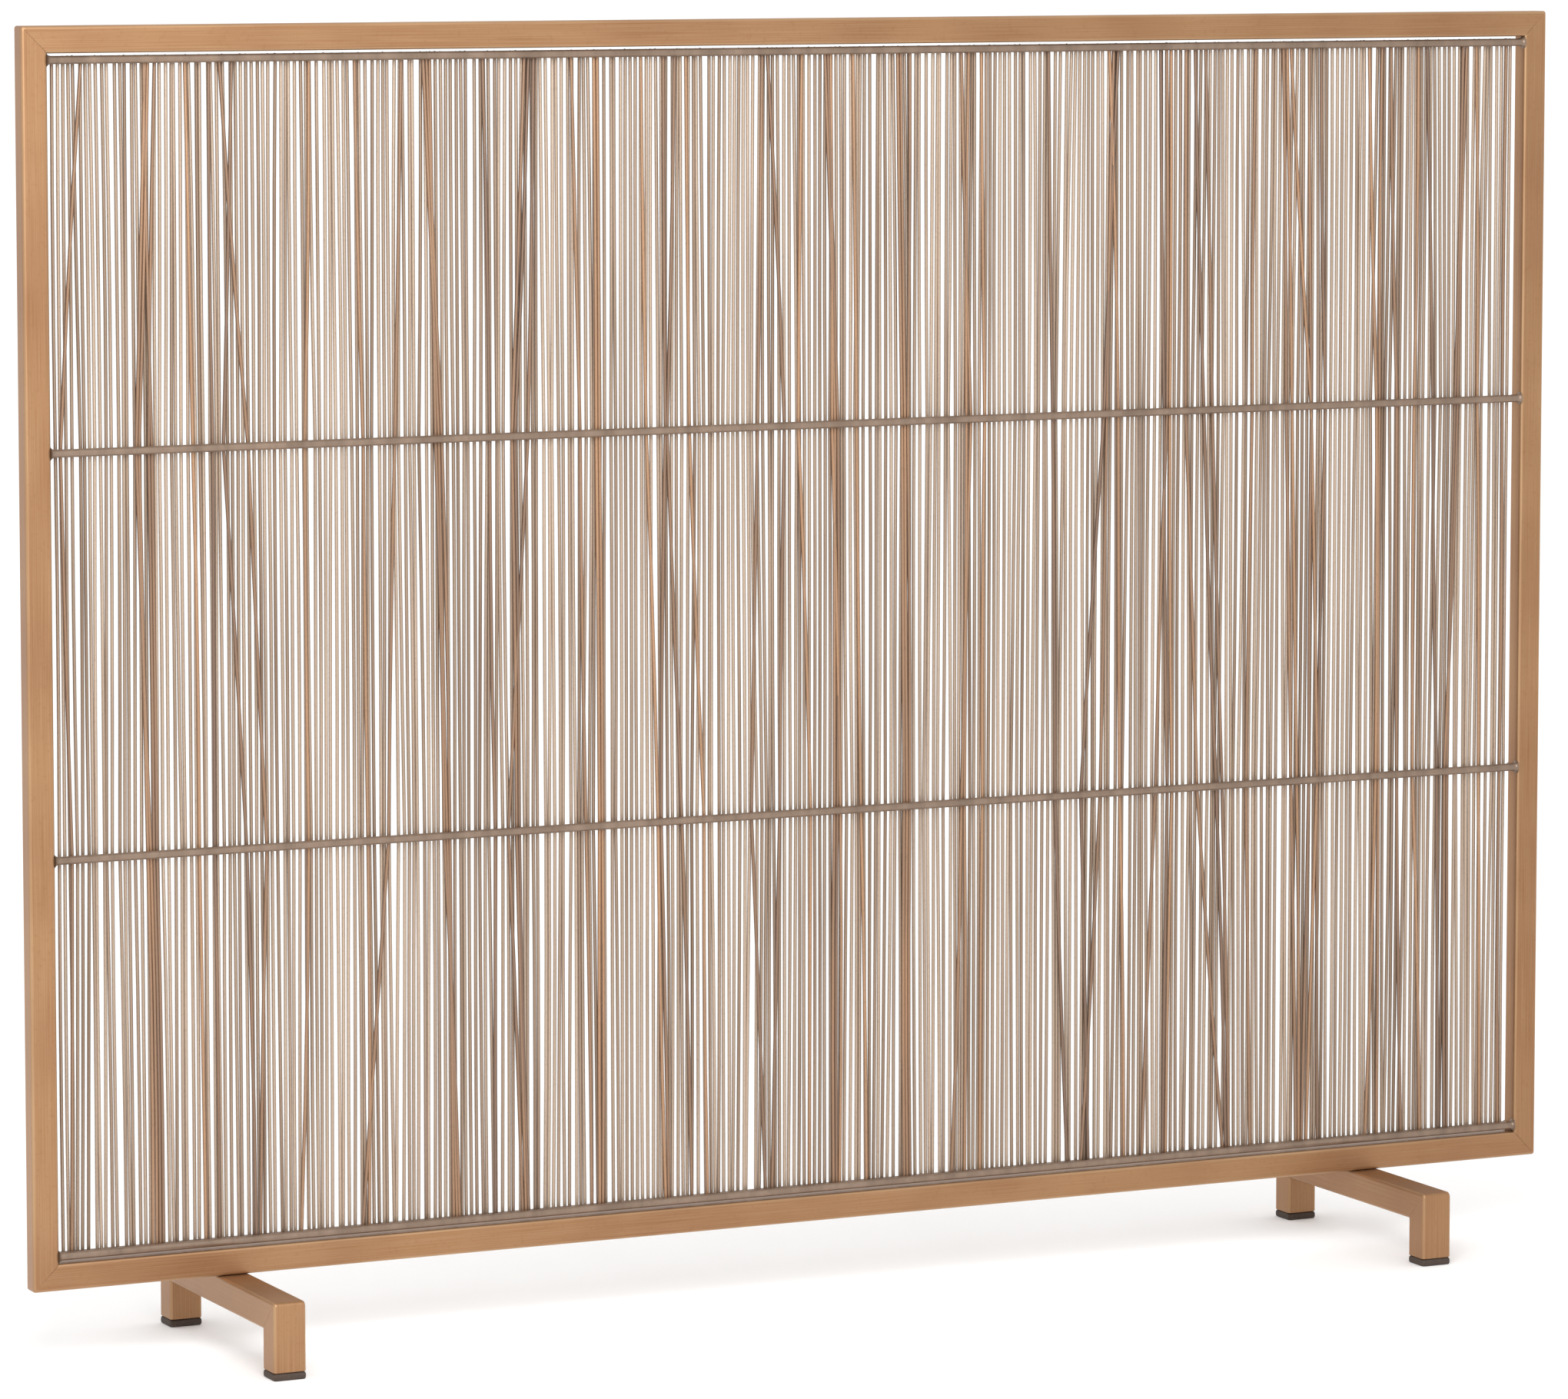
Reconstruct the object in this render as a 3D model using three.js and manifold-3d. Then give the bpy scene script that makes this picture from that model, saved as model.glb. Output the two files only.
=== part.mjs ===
// Free-standing fireplace screen.
//
// A flat frame of four mitred tubes holds four round cross rods, each with a thin back rod behind it. The
// upright wires stand between them: a close row against the back rods, and before it a looser set of
// bent, leaning wires, singly and in bunches. The frame is screwed to two bridge-shaped feet of mitred
// tube with rubber pads.
//
// Millimetres. +X runs along the screen, +Y points to the fire side, +Z is up. The origin lies on the
// floor, under the middle of the frame.

import * as THREE from 'three';
import * as BufferGeometryUtils from 'three/addons/utils/BufferGeometryUtils.js';
import Module from 'manifold-3d';

const wasm = await Module();
wasm.setup();

// ---------------------------------------------------------------- driving dimensions

const clearance = 0.3;          // gap left between pieces that touch on the real screen

const frameWidth = 965;
const frameHeight = 694;
const tubeFace = 15;            // frame tube, seen from the front
const tubeDepth = 12;           // frame tube, front to back
const tubeWall = 1.2;
const tubeCorner = 1.6;         // outer corner radius of the tube

const rodDiameter = 4.5;
const backRodDiameter = 2.2;
const rodHeights = { top: 675.4, upper: 461.7, lower: 238.2, bottom: 18.8 };   // above the frame's underside

const wireDiameter = 2;
const wireSides = 6;
const wireOverrun = 1;          // how far a wire runs past the middle of the top and bottom rods
const weldStrip = { thick: 2.1, tall: 2.4, past: 0.2 };   // past: beyond the outer wires' sides

const bankCount = 8;            // the wires are made up in eight banks, side by side
const rearPerBank = 36;
const rearPitch = 3.22;
const rearJitter = 1.15;        // how far a rear wire may stray from its place, at each rod
const wireDepthStray = 0.12;    // wires that cross in one layer don't lie at quite the same depth
const evenEdge = 4;             // a bank's outer wires, up to this many, stand more and more evenly

// The row also drifts as a whole, in waves along the screen: [length, size].
const waves = [[71, 0.5], [31, 0.35], [17.3, 0.2]];
const waveShift = 2.4;          // how far a wave moves on from one rod to the next, in radians

// Where the row parts: its place, and the push on the wires beside it at each rod from the top.
const partings = [
  [-428, [0, 0, 0.3, 1.2]], [-362, [1.2, 0.6, 0, 0]], [-215, [0.4, 1.2, 0.3, 0]], [-42, [0, 0, 0.2, 1]],
  [-1, [0.8, 1.5, 1.5, 0.4]], [276, [0, 1, 0, 0]], [447, [0, 1.2, 0.3, 0]],
];
const partingReach = 7;

const footInset = 118.5;        // end of the frame to the middle of a foot
const footHeight = 43.3;        // floor to the top of the foot
const footDepth = 176;          // front to back
const footWidth = 19;
const footThick = 17;           // height of the arm, and depth of a leg
const footWall = 1.5;
const footCorner = 1.6;
const padHeight = 4;
const padPlug = 8;              // how far the pad's plug goes up into the leg

const screw = { shank: 4, head: 7, headTall: 2.2, reach: 6.5 };
const screwSpacing = 8.2;       // two screws to a foot, side by side
const nut = { acrossFlats: 6.4, tall: 5 };
const accessHole = 8.6;         // through the arm's underside, for the screwdriver

const rodSides = 12;
const holeSides = 12;
const roundSides = 16;          // screw heads and their access holes

// Front wires, bank by bank, each with its x at the four rods from the top. Set by hand, for the loose
// bunches and single strays that give the screen its look.
const frontWires = [
  [[-446, -460, -455.5, -458], [-410, -407, -406, -404], [-403.5, -408.8, -407.8, -406],
    [-409, -416, -409.6, -408], [-407.5, -414.4, -411.4, -410.2], [-358.5, -365, -353, -349],
    [-372, -371.3, -372, -371], [-366, -350.5, -341, -346.5], [-386, -383, -381, -379]],
  [[-286, -282, -280.5, -281], [-258, -263, -268, -285], [-245, -236.5, -232.5, -227.5],
    [-243, -234.6, -230.8, -229.5], [-241, -238.4, -234.2, -225.8], [-313, -317, -316, -322]],
  [[-209, -205.5, -203, -204], [-183.5, -192, -190, -185], [-181, -190.2, -188.2, -183.2],
    [-178, -182, -195, -187], [-141, -140, -138.6, -139], [-139, -138.1, -136.8, -137.1],
    [-155, -150, -147, -144]],
  [[-112, -109, -102, -97.5], [-98, -97, -100, -95.6], [-91, -96, -87, -81], [-84, -82, -73, -71],
    [-33, -22, -25, -30], [-36, -39, -43, -34], [-11, -13.2, -5.2, -6]],
  [[3.5, 10.2, 10, 9.6], [5.4, 12.1, 11.9, 11.5], [7.2, 8.3, 13.8, 13.4], [21.5, 24, 27, 31],
    [50, 53.2, 55, 55.5], [52, 55.1, 56.9, 57.4], [58, 57, 58.8, 59.3], [91, 98, 92.4, 86.5],
    [96, 95, 94.3, 95], [104, 107, 106, 105]],
  [[148, 151.5, 154, 163], [194, 185.5, 171, 177], [191, 187.4, 184, 172], [188, 195, 197, 201],
    [226, 227.5, 221, 213], [222, 225.6, 229, 227], [229, 229.4, 232, 229]],
  [[239, 240, 249, 268], [245, 252.3, 262, 270], [252, 258, 266, 272], [286, 285, 282.3, 286.5],
    [304.5, 308, 313, 318], [307, 312, 317, 319.9], [309.5, 325, 331, 325], [322, 325.3, 325.3, 321.8],
    [330, 335, 331, 333]],
  [[363, 370, 371.4, 366], [372, 372, 373.3, 374], [378, 384, 386, 391], [397, 396, 397, 404],
    [403, 409, 414, 417], [428, 424.4, 421, 423], [430.5, 426.2, 419.2, 421.2], [437, 440, 443, 446],
    [458, 457.5, 458, 459]],
];

// ---------------------------------------------------------------- derived places

const frameBottom = footHeight + clearance;
const innerHalf = frameWidth / 2 - tubeFace;
const rodRadius = rodDiameter / 2;
const wireRadius = wireDiameter / 2;
const backRodRadius = backRodDiameter / 2;

// The rods and wires lie in four layers from front to back, centred in the depth of the frame.
const stackDepth = rodDiameter + 2 * wireDiameter + backRodDiameter + 3 * clearance;
const rodY = -stackDepth / 2 + rodRadius;
const frontWireY = rodY + rodRadius + clearance + wireRadius;
const rearWireY = frontWireY + wireDiameter + clearance;
const backRodY = rearWireY + wireRadius + clearance + backRodRadius;

const wireLevels = [
  frameBottom + rodHeights.top + wireOverrun, frameBottom + rodHeights.upper,
  frameBottom + rodHeights.lower, frameBottom + rodHeights.bottom - wireOverrun,
];
const footCentre = frameWidth / 2 - footInset;

const brass = { color: 0xb98a5e, roughness: 0.42, metalness: 0.85 };
const brassDark = { color: 0x8c7458, roughness: 0.45, metalness: 0.85 };
const rubber = { color: 0x3f342b, roughness: 0.85, metalness: 0 };
const zinc = { color: 0x9a9a98, roughness: 0.4, metalness: 0.9 };

// ---------------------------------------------------------------- solids and meshes

function toSolid(geometry) {
  const bare = geometry.clone();
  bare.deleteAttribute('normal');
  bare.deleteAttribute('uv');
  const merged = BufferGeometryUtils.mergeVertices(bare, 1e-4);
  return new wasm.Manifold(new wasm.Mesh({
    numProp: 3,
    vertProperties: new Float32Array(merged.attributes.position.array),
    triVerts: new Uint32Array(merged.index.array),
  }));
}

function toGeometry(solid) {
  const mesh = solid.getMesh();
  const geometry = new THREE.BufferGeometry();
  geometry.setAttribute('position', new THREE.BufferAttribute(mesh.vertProperties.slice(), 3));
  geometry.setIndex(new THREE.BufferAttribute(mesh.triVerts.slice(), 1));
  geometry.computeVertexNormals();
  return geometry;
}

const screen = new THREE.Group();

function addPiece(name, solid, finish, x = 0, y = 0, z = 0) {
  const mesh = new THREE.Mesh(toGeometry(solid), new THREE.MeshStandardMaterial(finish));
  mesh.name = name;
  mesh.position.set(x, y, z);
  screen.add(mesh);
}

function box(sizeX, sizeY, sizeZ, x, y, z) {
  return toSolid(new THREE.BoxGeometry(sizeX, sizeY, sizeZ).translate(x, y, z));
}

function rod(from, to, radius, sides) {
  const along = new THREE.Vector3().subVectors(to, from);
  const geometry = new THREE.CylinderGeometry(radius, radius, along.length(), sides);
  const turn = new THREE.Quaternion().setFromUnitVectors(
    new THREE.Vector3(0, 1, 0), along.clone().normalize());
  geometry.applyQuaternion(turn);
  geometry.translate((from.x + to.x) / 2, (from.y + to.y) / 2, (from.z + to.z) / 2);
  return toSolid(geometry);
}

function upright(x, y, bottom, top, radius, sides) {
  return rod(new THREE.Vector3(x, y, bottom), new THREE.Vector3(x, y, top), radius, sides);
}

function roundedOutline(shape, halfWide, halfTall, radius) {
  shape.moveTo(-halfWide + radius, -halfTall);
  shape.lineTo(halfWide - radius, -halfTall);
  shape.absarc(halfWide - radius, -halfTall + radius, radius, -Math.PI / 2, 0);
  shape.lineTo(halfWide, halfTall - radius);
  shape.absarc(halfWide - radius, halfTall - radius, radius, 0, Math.PI / 2);
  shape.lineTo(-halfWide + radius, halfTall);
  shape.absarc(-halfWide + radius, halfTall - radius, radius, Math.PI / 2, Math.PI);
  shape.lineTo(-halfWide, -halfTall + radius);
  shape.absarc(-halfWide + radius, -halfTall + radius, radius, Math.PI, Math.PI * 1.5);
  return shape;
}

// A length of hollow tube along Z, centred on the origin.
function tubeLength(wide, deep, wall, corner, length) {
  const section = roundedOutline(new THREE.Shape(), wide / 2, deep / 2, corner);
  const inner = corner - wall > 0.2 ? corner - wall : 0.2;
  section.holes.push(roundedOutline(new THREE.Path(), wide / 2 - wall, deep / 2 - wall, inner));
  const settings = { depth: length, bevelEnabled: false, curveSegments: 3 };
  return new THREE.ExtrudeGeometry(section, settings).translate(0, 0, -length / 2);
}

// A flat outline in X and Y, given depth along Z and centred on it.
function slab(points, depth) {
  const outline = new THREE.Shape(points.map(([x, y]) => new THREE.Vector2(x, y)));
  const settings = { depth, bevelEnabled: false };
  return new THREE.ExtrudeGeometry(outline, settings).translate(0, 0, -depth / 2);
}

// ---------------------------------------------------------------- frame

const joinTrim = clearance / Math.SQRT2;      // keeps two mitred ends one clearance apart
const slack = 10;

// A frame member along X with its long outer side at +Z, its ends cut back at 45 degrees.
function frameMember(length) {
  const tube = tubeLength(tubeFace, tubeDepth, tubeWall, tubeCorner, length + slack);
  tube.rotateZ(Math.PI / 2).rotateY(Math.PI / 2).rotateX(Math.PI / 2);
  const outer = length / 2 - joinTrim;
  const cut = slab([[-outer + tubeFace, -tubeFace / 2], [outer - tubeFace, -tubeFace / 2],
    [outer, tubeFace / 2], [-outer, tubeFace / 2]], tubeDepth + slack);
  cut.rotateX(Math.PI / 2);
  return toSolid(tube).intersect(toSolid(cut));
}

function footScrewPlaces() {
  const places = [];
  for (const side of [-1, 1]) {
    for (const step of [-0.5, 0.5]) places.push(side * footCentre + step * screwSpacing);
  }
  return places;
}

function buildFrame() {
  const railMiddle = frameHeight / 2 - tubeFace / 2;
  const centre = frameBottom + frameHeight / 2;
  addPiece('top_rail', frameMember(frameWidth), brass, 0, 0, centre + railMiddle);

  let bottomRail = frameMember(frameWidth).rotate([180, 0, 0]);
  for (const x of footScrewPlaces()) {
    const hole = upright(x, 0, -tubeFace, 0, screw.shank / 2 + clearance, holeSides);
    bottomRail = bottomRail.subtract(hole);
  }
  addPiece('bottom_rail', bottomRail, brass, 0, 0, centre - railMiddle);

  const stileMiddle = frameWidth / 2 - tubeFace / 2;
  addPiece('right_stile', frameMember(frameHeight).rotate([0, 90, 0]), brass, stileMiddle, 0, centre);
  addPiece('left_stile', frameMember(frameHeight).rotate([0, -90, 0]), brass, -stileMiddle, 0, centre);
}

function crossRod(radius, y) {
  const reach = innerHalf - clearance;
  return rod(new THREE.Vector3(-reach, y, 0), new THREE.Vector3(reach, y, 0), radius, rodSides);
}

function buildRods() {
  for (const [place, height] of Object.entries(rodHeights)) {
    addPiece(`${place}_rod`, crossRod(rodRadius, rodY), brassDark, 0, 0, frameBottom + height);
    addPiece(`${place}_back_rod`, crossRod(backRodRadius, backRodY), brassDark, 0, 0, frameBottom + height);
  }
}

// ---------------------------------------------------------------- wires

// A repeatable spread of values from -1 to 1 for wire i, so that no two wires stand quite alike.
function stray(i, lane) {
  const value = Math.sin(i * 12.9898 + lane * 78.233) * 43758.5453;
  return 2 * (value - Math.floor(value)) - 1;
}

// How far the row as a whole has drifted at x, at rod number level from the top.
function sway(x, level) {
  let drift = 0;
  waves.forEach(([length, size], wave) => {
    drift += size * Math.sin((2 * Math.PI * x) / length + waveShift * level * (wave + 1));
  });
  for (const [place, pushes] of partings) {
    const away = x - place;
    drift += pushes[level] * Math.sign(away) * Math.exp(-Math.abs(away) / partingReach);
  }
  return drift;
}

function rearPlaces(bank, step) {
  const i = bank * rearPerBank + step;
  const x = rearPitch * (i - (bankCount * rearPerBank - 1) / 2);
  const edge = Math.min(step, rearPerBank - 1 - step);
  const free = Math.min(1, edge / evenEdge);
  return wireLevels.map((height, level) => x + free * (sway(x, level) + rearJitter * stray(i, level + 1)));
}

// A wire that passes the four rods at the given places: rings of corners, one at each rod.
function bentWire(places, y) {
  const corners = [];
  const triangles = [];
  places.forEach((x, level) => {
    for (let side = 0; side < wireSides; side += 1) {
      const turn = (side * 2 * Math.PI) / wireSides;
      corners.push(x + wireRadius * Math.cos(turn), y + wireRadius * Math.sin(turn), wireLevels[level]);
    }
  });
  for (let level = 0; level < places.length - 1; level += 1) {
    for (let side = 0; side < wireSides; side += 1) {
      const here = level * wireSides + side;
      const next = level * wireSides + (side + 1) % wireSides;
      triangles.push(here, here + wireSides, next, next, here + wireSides, next + wireSides);
    }
  }
  const last = (places.length - 1) * wireSides;
  for (let side = 1; side < wireSides - 1; side += 1) {
    triangles.push(0, side, side + 1, last, last + side + 1, last + side);
  }
  return new wasm.Manifold(new wasm.Mesh({
    numProp: 3,
    vertProperties: new Float32Array(corners),
    triVerts: new Uint32Array(triangles),
  }));
}

// One bank: its wires, joined at both ends by a thin weld strip.
function wireBank(wires, y) {
  let bank = null;
  for (const end of [0, wireLevels.length - 1]) {
    const places = wires.map((wire) => wire[end]);
    const low = Math.min(...places) - wireRadius - weldStrip.past;
    const high = Math.max(...places) + wireRadius + weldStrip.past;
    const strip = box(high - low, weldStrip.thick, weldStrip.tall, (low + high) / 2, y, wireLevels[end]);
    bank = bank ? bank.add(strip) : strip;
  }
  wires.forEach((places, index) => {
    bank = bank.add(bentWire(places, y + wireDepthStray * stray(index, 9)));
  });
  return bank;
}

function buildWires() {
  for (let bank = 0; bank < bankCount; bank += 1) {
    const wires = [];
    for (let step = 0; step < rearPerBank; step += 1) wires.push(rearPlaces(bank, step));
    addPiece(`rear_wires_${bank + 1}`, wireBank(wires, rearWireY), brassDark);
  }
  frontWires.forEach((wires, bank) => {
    addPiece(`front_wires_${bank + 1}`, wireBank(wires, frontWireY), brassDark);
  });
}

// ---------------------------------------------------------------- feet

function footArm() {
  const tube = tubeLength(footWidth, footThick, footWall, footCorner, footDepth + slack);
  tube.rotateX(Math.PI / 2);
  const outer = footDepth / 2 - joinTrim;
  const cut = slab([[-outer + footThick, -footThick / 2], [outer - footThick, -footThick / 2],
    [outer, footThick / 2], [-outer, footThick / 2]], footWidth + slack);
  cut.rotateX(Math.PI / 2).rotateZ(Math.PI / 2);
  let arm = toSolid(tube).intersect(toSolid(cut));
  for (const x of [-screwSpacing / 2, screwSpacing / 2]) {
    arm = arm.subtract(upright(x, 0, 0, footThick, screw.shank / 2 + clearance, holeSides));
    arm = arm.subtract(upright(x, 0, -footThick, 0, accessHole / 2, roundSides));
  }
  return arm;
}

// A leg that stands under the front end of the arm, its top cut at 45 degrees to meet the arm.
function footLeg() {
  const tube = tubeLength(footWidth, footThick, footWall, footCorner, footHeight * 2);
  const outside = -footDepth / 2;
  const inside = outside + footThick;
  tube.translate(0, outside + footThick / 2, footHeight / 2);
  const foot = padHeight + clearance;
  const cut = slab([[outside, foot], [inside, foot], [inside, footHeight - footThick - joinTrim],
    [outside, footHeight - joinTrim]], footWidth + slack);
  cut.rotateX(Math.PI / 2).rotateZ(Math.PI / 2);
  return toSolid(tube).intersect(toSolid(cut));
}

function footPad() {
  const settings = { depth: padHeight, bevelEnabled: false, curveSegments: 3 };
  const base = new THREE.ExtrudeGeometry(
    roundedOutline(new THREE.Shape(), footWidth / 2, footThick / 2, footCorner), settings);
  const fit = footWall + clearance;
  const plug = box(footWidth - 2 * fit, footThick - 2 * fit, padPlug + padHeight / 2,
    0, 0, padHeight / 2 + (padPlug + padHeight / 2) / 2);
  return toSolid(base).add(plug).translate([0, -footDepth / 2 + footThick / 2, 0]);
}

function footScrew() {
  const head = upright(0, 0, 0, screw.headTall, screw.head / 2, roundSides);
  const length = footWall + tubeWall + 2 * clearance + screw.reach;
  return head.add(upright(0, 0, screw.headTall / 2, screw.headTall + length, screw.shank / 2,
    holeSides));
}

function footNut() {
  const corner = nut.acrossFlats / Math.sqrt(3);
  const body = upright(0, 0, 0, nut.tall, corner, 6);
  return body.subtract(upright(0, 0, -1, nut.tall + 1, screw.shank / 2 + clearance, holeSides));
}

function buildFeet() {
  for (const [side, x] of [['left', -footCentre], ['right', footCentre]]) {
    addPiece(`${side}_foot_arm`, footArm(), brass, x, 0, footHeight - footThick / 2);
    for (const [end, turn] of [['front', 0], ['back', 180]]) {
      addPiece(`${side}_foot_${end}_leg`, footLeg().rotate([0, 0, turn]), brass, x);
      addPiece(`${side}_foot_${end}_pad`, footPad().rotate([0, 0, turn]), rubber, x);
    }
    const headTop = footHeight - footWall - clearance;
    const railFloor = frameBottom + tubeWall;
    [-0.5, 0.5].forEach((step, index) => {
      const place = x + step * screwSpacing;
      addPiece(`${side}_foot_screw_${index + 1}`, footScrew(), zinc, place, 0, headTop - screw.headTall);
      addPiece(`${side}_foot_nut_${index + 1}`, footNut(), zinc, place, 0, railFloor + clearance);
    });
  }
}

// ---------------------------------------------------------------- assembly

buildFrame();
buildRods();
buildWires();
buildFeet();

export default screen;
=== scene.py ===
# %% [markdown]
# # A fireplace screen, step by step
#
# The screen is one flat panel on two feet. A frame of slim brass-coloured tube holds four round rods, each with a
# thinner rod behind it. Between them stand the upright wires: a close pale row at the back, and before it looser
# brown ones, singly and in bunches. Every size comes from a fixed frame of plain solids, which is loaded first.
# Each solid is then replaced by a finished piece that stands in the same place. Everything is in metres: +X runs
# along the screen, +Y points to the fire, and +Z is up.

import math

import bmesh
import bpy
import numpy as np
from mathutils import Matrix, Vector


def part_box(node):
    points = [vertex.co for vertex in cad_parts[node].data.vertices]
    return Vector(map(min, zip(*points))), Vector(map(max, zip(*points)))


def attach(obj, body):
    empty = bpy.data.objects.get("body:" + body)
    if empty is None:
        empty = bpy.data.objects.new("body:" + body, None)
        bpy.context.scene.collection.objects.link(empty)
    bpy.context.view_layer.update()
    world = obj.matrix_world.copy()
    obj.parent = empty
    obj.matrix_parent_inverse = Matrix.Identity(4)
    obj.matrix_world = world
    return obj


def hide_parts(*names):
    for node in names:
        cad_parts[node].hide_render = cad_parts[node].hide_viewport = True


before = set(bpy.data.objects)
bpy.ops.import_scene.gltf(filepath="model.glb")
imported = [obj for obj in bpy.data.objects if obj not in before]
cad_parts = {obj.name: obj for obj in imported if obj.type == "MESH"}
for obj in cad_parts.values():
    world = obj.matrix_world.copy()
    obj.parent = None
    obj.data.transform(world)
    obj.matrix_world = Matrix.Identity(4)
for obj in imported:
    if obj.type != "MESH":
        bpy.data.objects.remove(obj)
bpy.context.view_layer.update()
mm = 0.001
print("solids in the frame:", len(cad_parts))

# %% [markdown]
# ## Sizes
#
# The frame already knows how large everything is, so the sizes are read from its boxes instead of typed again.
# Only what a box can't tell, such as a corner radius or a wire's thickness, is written here as a named value.

# %% Sizes
top_rail_low, top_rail_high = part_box("top_rail")
bottom_rail_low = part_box("bottom_rail")[0]
frame_half_width = top_rail_high.x
frame_top = top_rail_high.z
frame_bottom = bottom_rail_low.z
tube_face = top_rail_high.z - top_rail_low.z
tube_depth = top_rail_high.y - top_rail_low.y
tube_corner = 1.7 * mm
corner_softening = 1.3 * mm         # how far a ground weld rounds the frame's outer corners
seam_groove = 0.1 * mm              # depth and width of the hair line at a mitre

rod_places = ["top", "upper", "lower", "bottom"]
rod_heights = [(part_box(f"{place}_rod")[0].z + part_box(f"{place}_rod")[1].z) / 2 for place in rod_places]
rod_radius = (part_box("top_rod")[1].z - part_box("top_rod")[0].z) / 2

wire_radius = 1 * mm
wire_overrun = 1 * mm               # how far a wire's ends pass the outer rods' middles
front_wire_y = (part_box("front_wires_1")[0].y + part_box("front_wires_1")[1].y) / 2
rear_wire_y = (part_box("rear_wires_1")[0].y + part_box("rear_wires_1")[1].y) / 2

foot_centre = (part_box("right_foot_arm")[0].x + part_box("right_foot_arm")[1].x) / 2
arm_low, arm_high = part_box("right_foot_arm")
foot_half_width = (arm_high.x - arm_low.x) / 2
foot_half_depth = arm_high.y
foot_top = arm_high.z
foot_thick = arm_high.z - arm_low.z
foot_corner = 1.7 * mm
foot_softening = 2.2 * mm           # how far a ground weld rounds a foot's corners
pad_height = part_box("right_foot_front_leg")[0].z
print(f"frame {2000 * frame_half_width:.0f} mm wide, rods {2000 * rod_radius:.1f} mm thick")

# %% [markdown]
# ## A small kit for node trees
#
# Shaders and Geometry Nodes are both built from nodes, and writing out each node and each link takes many lines.
# One helper places a node and fills its inputs: a value is typed into the socket, and an output of another node
# is linked to it.

# %% Node helper
def put(tree, kind, inputs=None, **settings):
    node = tree.nodes.new(kind)
    for key, value in settings.items():
        setattr(node, key, value)
    for key, value in (inputs or {}).items():
        if isinstance(value, bpy.types.NodeSocket):
            tree.links.new(value, node.inputs[key])
        else:
            node.inputs[key].default_value = value
    return node.outputs


def blend_colours(tree, share, first, second):
    inputs = {0: share, 6: first, 7: second}
    return put(tree, "ShaderNodeMix", inputs, data_type="RGBA")[2]


def spread(tree, value, low, high, to_low, to_high):
    inputs = {0: value, 1: low, 2: high, 3: to_low, 4: to_high}
    return put(tree, "ShaderNodeMapRange", inputs)[0]


def noise(tree, place, scale, detail=2.0):
    inputs = {"Vector": place, "Scale": scale, "Detail": detail}
    return put(tree, "ShaderNodeTexNoise", inputs)[0]


def new_finish(name, metallic, coat, coat_roughness):
    finish = bpy.data.materials.new(name)
    finish.use_nodes = True
    tree = finish.node_tree
    shader = tree.nodes["Principled BSDF"]
    shader.inputs["Metallic"].default_value = metallic
    shader.inputs["Coat Weight"].default_value = coat
    shader.inputs["Coat Roughness"].default_value = coat_roughness
    return finish, tree, shader


def finish_off(tree, shader, colour, roughness, height, bump_distance):
    tree.links.new(colour, shader.inputs["Base Color"])
    tree.links.new(roughness, shader.inputs["Roughness"])
    inputs = {"Height": height, "Strength": 1.0, "Distance": bump_distance}
    tree.links.new(put(tree, "ShaderNodeBump", inputs)[0], shader.inputs["Normal"])


print("node helpers ready")

# %% [markdown]
# ## The frame's finish
#
# The tubes have a satin antique-brass finish: a warm gold-brown base that wanders a little from place to place,
# and fine brush lines along each tube. The rounded edges get a painted highlight: their colour is blended towards
# a paler brass, standing in for the light that the rounded edges catch. The brush lines have to run along every
# tube, whichever way it lies, so they read a UV map whose first number is the distance along the tube. The painted
# edge highlight reads an attribute that each piece stores when its mesh is made.

# %% Brass finish for the frame and the feet
# The last colour is a paler brass. It serves for the brush lines and for the painted highlight on the rounded
# edges.
def brass_finish(name, deep, warm, pale_lines_and_sheen):
    finish, tree, shader = new_finish(name, metallic=0.72, coat=0.16, coat_roughness=0.35)
    place = put(tree, "ShaderNodeTexCoord")["Object"]
    uv = put(tree, "ShaderNodeUVMap", uv_map="along")[0]
    stretched = put(tree, "ShaderNodeMapping", {"Vector": uv, "Scale": (14, 1300, 1)})[0]
    brushing = noise(tree, stretched, 1.0, 4.0)
    patches = noise(tree, place, 11.0, 3.0)
    speckle = noise(tree, place, 420.0, 2.0)
    # Painted highlight: this attribute is 1 on the rounded edges and 0 on the flats.
    edge_sheen = put(tree, "ShaderNodeAttribute", attribute_name="edge_sheen")["Fac"]
    base = blend_colours(tree, spread(tree, patches, 0.36, 0.64, 0, 1), deep, warm)
    lined = blend_colours(tree, spread(tree, brushing, 0.3, 0.7, 0, 0.35), base, pale_lines_and_sheen)
    aged = blend_colours(tree, spread(tree, speckle, 0.58, 0.72, 0, 0.25), lined, deep)
    # Painted highlight along the rounded edges, in patches of varying strength, blended towards the paler brass.
    sheen_share = put(tree, "ShaderNodeMath", {0: edge_sheen, 1: spread(tree, patches, 0.3, 0.7, 0.25, 0.6)},
              operation="MULTIPLY")[0]
    colour = blend_colours(tree, sheen_share, aged, pale_lines_and_sheen)
    roughness = spread(tree, brushing, 0.2, 0.8, 0.36, 0.5)
    finish_off(tree, shader, colour, roughness, brushing, 0.02 * mm)
    return finish


frame_brass = brass_finish("frame_brass", (0.27, 0.122, 0.05, 1), (0.335, 0.17, 0.074, 1), (0.49, 0.32, 0.18, 1))
print("made", frame_brass.name)

# %% [markdown]
# ## The wires' and rods' finish
#
# Drawn wire takes the same finish less evenly: some wires are pale and some are brown. Each wire carries its own
# tone as an attribute, from 0 for the brownest to 1 for the palest. A slow noise along the height keeps a single
# wire from being one flat colour.

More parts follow.
